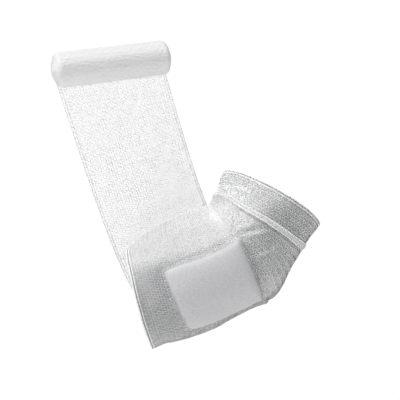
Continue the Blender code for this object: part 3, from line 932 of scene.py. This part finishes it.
def ground(name, t, angle, lift, rise, light, closed):
    """A turn's cloth: a thin wall on its own lift, with the strip's UV in metres on both sides."""
    rows, columns = t.shape
    inner = tube_point(t, angle, lift + GROUND_LOW)
    outer = tube_point(t, angle, lift + GROUND_HIGH + rise)
    points = np.concatenate([inner.reshape(-1, 3), outer.reshape(-1, 3)])
    # Painted light and shade on the outer side, eased by a power where it is lit; the inner side is one
    # tone, a quarter of the way from the painted grey shade to white
    light = np.where(light > 0, np.abs(light) ** GROUND_POWER, light)
    lights = np.concatenate([np.full(t.size, INSIDE_LIGHT), light.ravel()])
    covers = np.concatenate([np.zeros(t.size), pad_shows(t, angle).ravel()])
    uv = np.stack([angle.ravel() * ARM_RADIUS, t.ravel()], axis=-1)
    values = {"light": lights, "over_pad": covers}
    return surface(name, points, wall_quads(rows, columns, closed), None, values, np.concatenate([uv, uv]))


def gathered(t, angle):
    """How light the crepe is painted: most toward the crease, where it is gathered and lit, and 0 where it
    is stretched open and painted grey in shade.

    The change lies further round the upper arm than round the forearm. Painted highlights make the knot of
    folds beside the crease whitest and the elbow's tip a little lighter. The upper arm is painted a little
    lighter and its rim darker, and painted shade makes the underside deepest. A spot fades as a bell curve
    of the distance along the tube and round it.
    """
    from_crease = np.abs((np.degrees(angle) + 180.0) % 360.0 - 180.0)
    light = GATHERED * (1 - smooth((from_crease - GATHERED_TO - GATHERED_SLANT * t) / GATHERED_FADE))
    # Painted highlights in spots
    for more, station, middle, length, spread in PAINTED_HIGHLIGHT_SPOTS:
        turned = (np.degrees(angle) - middle + 180.0) % 360.0 - 180.0
        light = light + more * np.exp(-(((t - station) / length) ** 2) - (turned / spread) ** 2)
    # The upper arm painted lighter and its rim darker, then painted shade on the underside
    light = light + UPPER_GAIN * smooth((t - UPPER_GAIN_FROM) / UPPER_GAIN_LENGTH)
    light = light * (1 - RIM_LOSS * smooth((t - RIM_LOSS_FROM) / RIM_LOSS_LENGTH))
    return light - smooth((from_crease - UNDERSIDE_FROM) / UNDERSIDE_FADE)


def edge_gap(distance):
    """1 between the two cords of a selvedge, where the cloth is open and shade is painted, and 0 elsewhere.
    """
    middle = sum(CORD_INSET) / 2
    return np.exp(-(((distance - middle) / CORD_GAP) ** 2))


def upper_light(t, angle):
    """The upper arm's turn: a painted highlight on its fold, and painted shade a little deeper between the
    cords of its rim.
    """
    from_rim = round_edge(UPPER_RIM, angle, UPPER_REACH) - t
    folds = FOLD_LIGHT * upper_rise(t, angle) / MM
    return np.clip(gathered(t, angle) + folds - RIM_GAP_PAINTED_SHADE * edge_gap(from_rim), -1, 1)


def forearm_light(t, wound):
    """The forearm turn: painted deep shade between the cords of its wrist edge."""
    from_edge = t - BAND_WIDTH * along_table(np.degrees(wound), FOREARM_EDGES, 1)
    return np.clip(gathered(t, wound) - WRIST_GAP_PAINTED_SHADE * edge_gap(from_edge), -1, 1)


def elbow_light(t, angle):
    """The elbow turn: painted highlights on its folded edge and its folds, with a line of painted shadow at
    the edge's foot.
    """
    gap = ridge_station(angle) - t
    band = BAND_LIGHT * smooth((RIDGE_WIDTH - gap) / RIDGE_FOOT)
    from_foot = (gap - RIDGE_WIDTH - FOOT_PLACE) / FOOT_WIDTH
    foot = FOOT_PAINTED_SHADOW * np.exp(-(from_foot**2)) * ridge_strength(angle)
    folds = FOLD_LIGHT * fold_rise(t, angle, ELBOW_FOLDS) / MM
    return np.clip(gathered(t, angle) + band - foot + folds, -1, 1)


def shares(across, run, closed=True):
    """Two grids of shares: across a turn, then along its run, without the last where it closes."""
    return np.meshgrid(np.linspace(*across), np.linspace(0, 1, run, endpoint=not closed), indexing="ij")


def make_turn(name, share, run, stations, stations_shown, heights, closed):
    """A turn's cloth, and the two functions that place its net on it and mark it.

    The cloth lies on stations(share, run) and the net on stations_shown(share, run). heights is three
    functions of the station and the angle: the lift over the arm, what stands up outside, and the light.
    """
    lift, rise, light = heights
    t, angle = stations(share, run)
    values = lift(t, angle), rise(t, angle), light(t, angle)
    cloth = ground(name + "_cloth", t, angle, *values, closed)
    finish_piece(cloth, crepe_layers, name + "_turn")

    def place(share, run, above):
        t, angle = stations_shown(share, run)
        return tube_point(t, angle, above + lift(t, angle) + rise(t, angle))

    def marks(share, run):
        t, angle = stations_shown(share, run)
        return pad_shows(t, angle), light(t, angle)

    return cloth, place, marks


def finish_net(made):
    """Gives a turn's net its material and slot."""
    for piece in made:
        finish_piece(piece, crepe_net)


def make_upper_arm_turn():
    """The turn on the upper arm, from under the ridge to the upper rim; its cloth ends inside the cord."""
    def stations(share, run):
        angle = run * 2 * math.pi
        low = round_edge(UPPER_HIDDEN, angle, UPPER_REACH)
        return low + share * (round_edge(UPPER_RIM, angle, UPPER_REACH) - low), angle

    def stations_shown(share, run):
        angle = run * 2 * math.pi
        high = round_edge(UPPER_RIM, angle, UPPER_REACH)
        return high - (1 - share) * (high - ridge_station(angle) + UPPER_NET_UNDER), angle

    share, run = shares(*UPPER_GRID)
    heights = upper_lift, upper_rise, upper_light
    cloth, place, marks = make_turn("upper_arm", share, run, stations, stations_shown, heights, True)
    made = net("upper_arm", place, marks, UPPER_NET, (None, 0.0))
    finish_net(made)


def make_elbow_turn():
    """The turn over the elbow, with its folded ridge and its folds at the crease."""
    def stations(share, run):
        angle = run * 2 * math.pi
        low = round_edge(ELBOW_HIDDEN, angle, BAND_WIDTH)
        return low + share * (ridge_station(angle) - low), angle

    def stations_shown(share, run):
        angle = run * 2 * math.pi
        under = np.mod(angle + math.pi / 2, 2 * math.pi) - math.pi / 2
        low = BAND_WIDTH * along_table(np.degrees(under), FOREARM_EDGES, 2) - ELBOW_NET_UNDER
        return low + share * (ridge_station(angle) - low), angle

    share, run = shares(*ELBOW_GRID)
    heights = elbow_lift, elbow_rise, elbow_light
    cloth, place, marks = make_turn("elbow", share, run, stations, stations_shown, heights, True)
    made = net("elbow", place, marks, ELBOW_NET, (None, 0.0), RIDGE_CORD_INSET, swell=ridge_strength)
    finish_net(made)


def make_forearm_turn():
    """The last turn, wound once and a little more, up to the flank where the free strip leaves it."""
    def stations(share, run):
        wound = FOREARM_START + run * FOREARM_TURN
        return forearm_grid(share, wound), wound

    share, run = shares(*FOREARM_GRID, closed=False)
    heights = forearm_lift, forearm_rise, forearm_light
    cloth, place, marks = make_turn("forearm", share, run, stations, stations, heights, False)
    cord_start = (CORD_SHOWN - FOREARM_START) / FOREARM_TURN
    made = net("forearm", place, marks, FOREARM_NET, (0.0, cord_start))
    finish_net(made)


def make_tail():
    """The free strip: the bare net, open to what is behind it."""
    def place(share, run, lift):
        by_share = tail_middle(share + TAIL_STEP, run) - tail_middle(share - TAIL_STEP, run)
        by_run = tail_middle(share, run + TAIL_STEP) - tail_middle(share, run - TAIL_STEP)
        normal = np.cross(by_share, by_run)
        normal = normal / np.linalg.norm(normal, axis=-1, keepdims=True)
        return tail_middle(share, run) + (lift - NET_LIFT)[..., None] * normal

    def marks(share, run):
        return np.zeros_like(share), np.ones_like(share)

    run = np.linspace(0, 1, TAIL_POINTS)
    line = tail_middle(np.full_like(run, 0.5), run)
    length = float(np.linalg.norm(np.diff(line, axis=0), axis=1).sum())
    size = (BAND_WIDTH, length)
    strip = net("free_strip", place, marks, size, (0.0, 0.0), fullness=STRIP_FULLNESS, joined=True)[0]
    finish_piece(strip, strip_net, "bandage_tail")


def make_roll():
    """The wound roll: an outer lap with the relief of its weave, and ends with the laps' spiral ridges.

    Rings run from one end's hub over the outer lap to the other's. Height along the axis over an end is
    the bulge, a parabola of the radius, plus a ridge for each lap that follows the spiral. The outer lap
    has the weave, two crossed rows of waves, and wrinkles, the sum of many slanted ones.
    """
    centre, axis, down, side = roll_frame()
    wound = np.linspace(0, 2 * math.pi, ROLL_POINTS, endpoint=False)
    pitch = BAND_WALL + LAY_GAP
    ends = np.linspace(ROLL_CORE, ROLL_FLAT, END_RINGS)
    corner = np.sin(np.linspace(0, math.pi / 2, SHOULDER_RINGS))[1:]
    body = np.linspace(-1, 1, BODY_RINGS)[1:-1]
    shoulder = ROLL_FLAT + (1 - ROLL_FLAT) * corner
    radius_share = np.concatenate([ends, shoulder, np.ones(len(body)), shoulder[::-1], ends[::-1]])
    drop = ROLL_SHOULDER * (1 - np.sqrt(np.clip(1 - corner**2, 0, 1)))
    half = BAND_WIDTH / 2
    end_height = half + ROLL_BULGE * (1 - (ends / ROLL_FLAT) ** 2)
    height = np.concatenate([
        -end_height, -(half - drop), body * (half - ROLL_SHOULDER), (half - drop)[::-1], end_height[::-1],
    ])
    share, angle = np.meshgrid(radius_share, wound, indexing="ij")
    tall = np.broadcast_to(height[:, None], share.shape)
    is_end = (share <= ROLL_FLAT).astype(float)
    radius = share * (ROLL_RADIUS - pitch * smooth(angle / (2 * math.pi)) * ROLL_SEAM)
    lap_phase = (radius / pitch + angle / (2 * math.pi)) % 1.0
    lap_ridge = np.abs(np.sin(math.pi * lap_phase)) ** LAP_ROUNDING
    uneven = sum(size * np.sin(around * angle + out * radius / pitch) for size, around, out in LAP_WAVES)
    inner_laps = is_end * smooth((ROLL_FLAT - share) / LAP_FADE)
    rise = inner_laps * ((LAP_RIDGE + uneven) * lap_ridge - LAP_RIDGE)
    columns = tall / COLUMN_PITCH
    rows = angle * ROLL_RADIUS / ROW_PITCH
    weave = np.cos(2 * math.pi * columns) + np.cos(2 * math.pi * rows + math.pi * np.floor(columns))
    weave = weave / 2
    around_waves = rng.integers(*WRINKLES_ROUND, WRINKLE_COUNT)
    along_waves = rng.normal(0, WRINKLES_ALONG, WRINKLE_COUNT)
    phases = rng.uniform(0, WRINKLE_PHASES, WRINKLE_COUNT)
    wrinkles = np.zeros_like(share)
    for around, along, phase in zip(around_waves, along_waves, phases):
        wrinkles += np.sin(around * angle + along * tall + phase) * math.sqrt(2 / WRINKLE_COUNT)
    relief = (1 - is_end) * (WEAVE_RELIEF * weave + WRINKLE_RELIEF * wrinkles - RELIEF_SINK)
    radial = np.cos(angle)[..., None] * side - np.sin(angle)[..., None] * down
    points = centre + (tall + np.sign(tall) * rise)[..., None] * axis + (radius + relief)[..., None] * radial
    index = np.arange(share.size).reshape(share.shape)
    after = np.roll(index, -1, axis=1)
    quads = np.stack([index[:-1], after[:-1], after[1:], index[1:]], axis=-1).reshape(-1, 4)
    hubs = np.stack([centre - (half + ROLL_BULGE) * axis, centre + (half + ROLL_BULGE) * axis])
    low_cap = np.stack([after[0], index[0], np.full(ROLL_POINTS, share.size)], axis=-1)
    high_cap = np.stack([index[-1], after[-1], np.full(ROLL_POINTS, share.size + 1)], axis=-1)
    caps = np.concatenate([low_cap, high_cap])
    # Painted shade: in the dips of the weave and the wrinkles, in the gaps between the end laps, and on the
    # upper side
    dips = np.clip(RELIEF_PAINTED_SHADE - WEAVE_DIP_PAINTED_SHADE * weave - WRINKLE_DIP_PAINTED_SHADE * wrinkles, 0, 1)
    painted_shade = inner_laps * LAP_GAP_PAINTED_SHADE * (1 - lap_ridge) + (1 - is_end) * dips
    painted_shade = np.clip(painted_shade + TOP_PAINTED_SHADE * smooth((radial[..., 2] - TOP_FROM) / TOP_FADE), 0, 1)
    # The hubs are in full painted shade
    marks = {"painted_shade": np.concatenate([painted_shade.ravel(), [1.0, 1.0]])}
    roll = surface("wound_roll", np.concatenate([points.reshape(-1, 3), hubs]), quads, caps, marks)
    finish_piece(roll, wound_crepe, "bandage_roll")


def make_pad():
    """The felt pad: two grids over its flat shape, the upper one domed at its soft edges."""
    steps = np.sin(np.linspace(-1, 1, PAD_STEPS) * math.pi / 2)
    along, around = np.meshgrid(steps, steps, indexing="ij")
    corner = PAD_CORNER / PAD_LENGTH
    end = np.where(along > 0, PAD_ELBOW_END, (1 - PAD_TAPER * around) * PAD_LENGTH / 2)
    flat_along = along * (1 - corner * around**PAD_DOME_POWER) * end
    flat_around = around * (1 - corner * along**PAD_DOME_POWER) * PAD_HEIGHT / 2
    station, angle = pad_station(flat_along, flat_around)
    dome = (1 - along**PAD_DOME_POWER) * (1 - around**PAD_DOME_POWER)
    rows, columns = station.shape
    points = np.concatenate([
        tube_point(station, angle, height + ripple(station, angle)).reshape(-1, 3)
        for height in (BUTT_GAP, PAD_EDGE + (PAD_THICKNESS - PAD_EDGE) * dome)
    ])
    pad = surface("felt_pad", points, wall_quads(rows, columns, False))
    finish_piece(pad, felt, "dressing_pad")


def make_stage():
    """A plain pale floor that curves up behind into a backdrop, and glows white away from the bandage."""
    turn = np.linspace(COVE_START, math.pi / 2, COVE_ROWS)
    level = np.linspace(-FLOOR_HALF, COVE_RADIUS, FLOOR_ROWS)
    run = np.concatenate([
        np.stack([level, np.full_like(level, FLOOR_LEVEL)], axis=-1),
        np.stack([
            COVE_RADIUS + COVE_RADIUS * np.sin(turn),
            FLOOR_LEVEL + COVE_RADIUS - COVE_RADIUS * np.cos(turn),
        ], axis=-1),
        [[2 * COVE_RADIUS, WALL_TOP]],
    ])
    index = np.arange(FLOOR_COLUMNS * len(run)).reshape(FLOOR_COLUMNS, len(run))
    x = np.broadcast_to(np.linspace(-FLOOR_HALF, FLOOR_HALF, FLOOR_COLUMNS)[:, None], index.shape)
    points = np.stack([x, *(np.broadcast_to(run[:, i], index.shape) for i in (0, 1))], axis=-1)
    quads = np.stack([index[:-1, :-1], index[1:, :-1], index[1:, 1:], index[:-1, 1:]], axis=-1)
    floor = surface("studio_floor", points.reshape(-1, 3), quads.reshape(-1, 4))
    material, tree, shader = new_material("white studio paper")
    shader.inputs["Roughness"].default_value = 1.0
    shader.inputs["Specular IOR Level"].default_value = 0.0
    shader.inputs["Emission Color"].default_value = colour("#FFFFFF")
    place = add(tree, "ShaderNodeTexCoord", None, "Object")
    distances = (
        (add(tree, "ShaderNodeSeparateXYZ", {"Vector": place}, "Y"), GLOW_BEHIND),
        (add(tree, "ShaderNodeVectorMath", {0: place}, "Value", operation="LENGTH"), GLOW_AWAY),
    )
    either = {}
    for i, (distance, (near, far)) in enumerate(distances):
        steps = {"Value": distance, "From Min": near, "From Max": far}
        either[i] = add(tree, "ShaderNodeMapRange", steps, "Result", interpolation_type="SMOOTHSTEP")
    glow = add(tree, "ShaderNodeMath", either, "Value", operation="MAXIMUM")
    strength = add(tree, "ShaderNodeMath", {0: glow, 1: PAPER_GLOW}, "Value", operation="MULTIPLY")
    tree.links.new(strength, shader.inputs["Emission Strength"])
    fading = {SHARE: glow, FIRST: colour(PAPER_WHITE), SECOND: colour("#000000")}
    paper = add(tree, "ShaderNodeMix", fading, MIXED, data_type="RGBA")
    tree.links.new(paper, shader.inputs["Base Color"])
    floor.data.materials.append(material)


def add_lamp(name, place, size, power):
    """A soft square lamp at a place, turned toward the middle of the bandage."""
    lamp = bpy.data.lights.new(name, "AREA")
    lamp.shape = "SQUARE"
    lamp.size = size
    lamp.energy = power
    thing = bpy.data.objects.new(name, lamp)
    bpy.context.scene.collection.objects.link(thing)
    thing.location = place
    way = Vector(np.array(LAMP_TARGET) - np.array(place))
    thing.rotation_euler = way.to_track_quat("-Z", "Y").to_euler()


def make_light_and_camera():
    """Key light from the upper left in front, a weak fill, and the camera level with the wraps.

    The world lights the piece weakly, and is plain white where the camera sees it.
    """
    for lamp in LAMPS:
        add_lamp(*lamp)
    world = bpy.data.worlds.new("studio")
    bpy.context.scene.world = world
    world.use_nodes = True
    tree = world.node_tree
    back = tree.nodes["Background"]
    back.inputs["Color"].default_value = colour("#FFFFFF")
    seen = add(tree, "ShaderNodeLightPath", None, "Is Camera Ray")
    steps = {"Value": seen, "To Min": WORLD_STRENGTH, "To Max": PAPER_GLOW}
    tree.links.new(add(tree, "ShaderNodeMapRange", steps, "Result"), back.inputs["Strength"])
    camera = bpy.data.cameras.new("camera")
    camera.sensor_width = SENSOR_WIDTH
    camera.lens = SENSOR_WIDTH * -CAMERA_PLACE[1] / VIEW_WIDTH
    camera.clip_start = 0.01
    thing = bpy.data.objects.new("camera", camera)
    bpy.context.scene.collection.objects.link(thing)
    thing.location = CAMERA_PLACE
    thing.rotation_euler = (math.pi / 2, 0.0, 0.0)
    bpy.context.scene.camera = thing
    bpy.context.scene.view_settings.view_transform = "Standard"


make_upper_arm_turn()
make_elbow_turn()
make_forearm_turn()
make_pad()
make_tail()
make_roll()
make_stage()
make_light_and_camera()
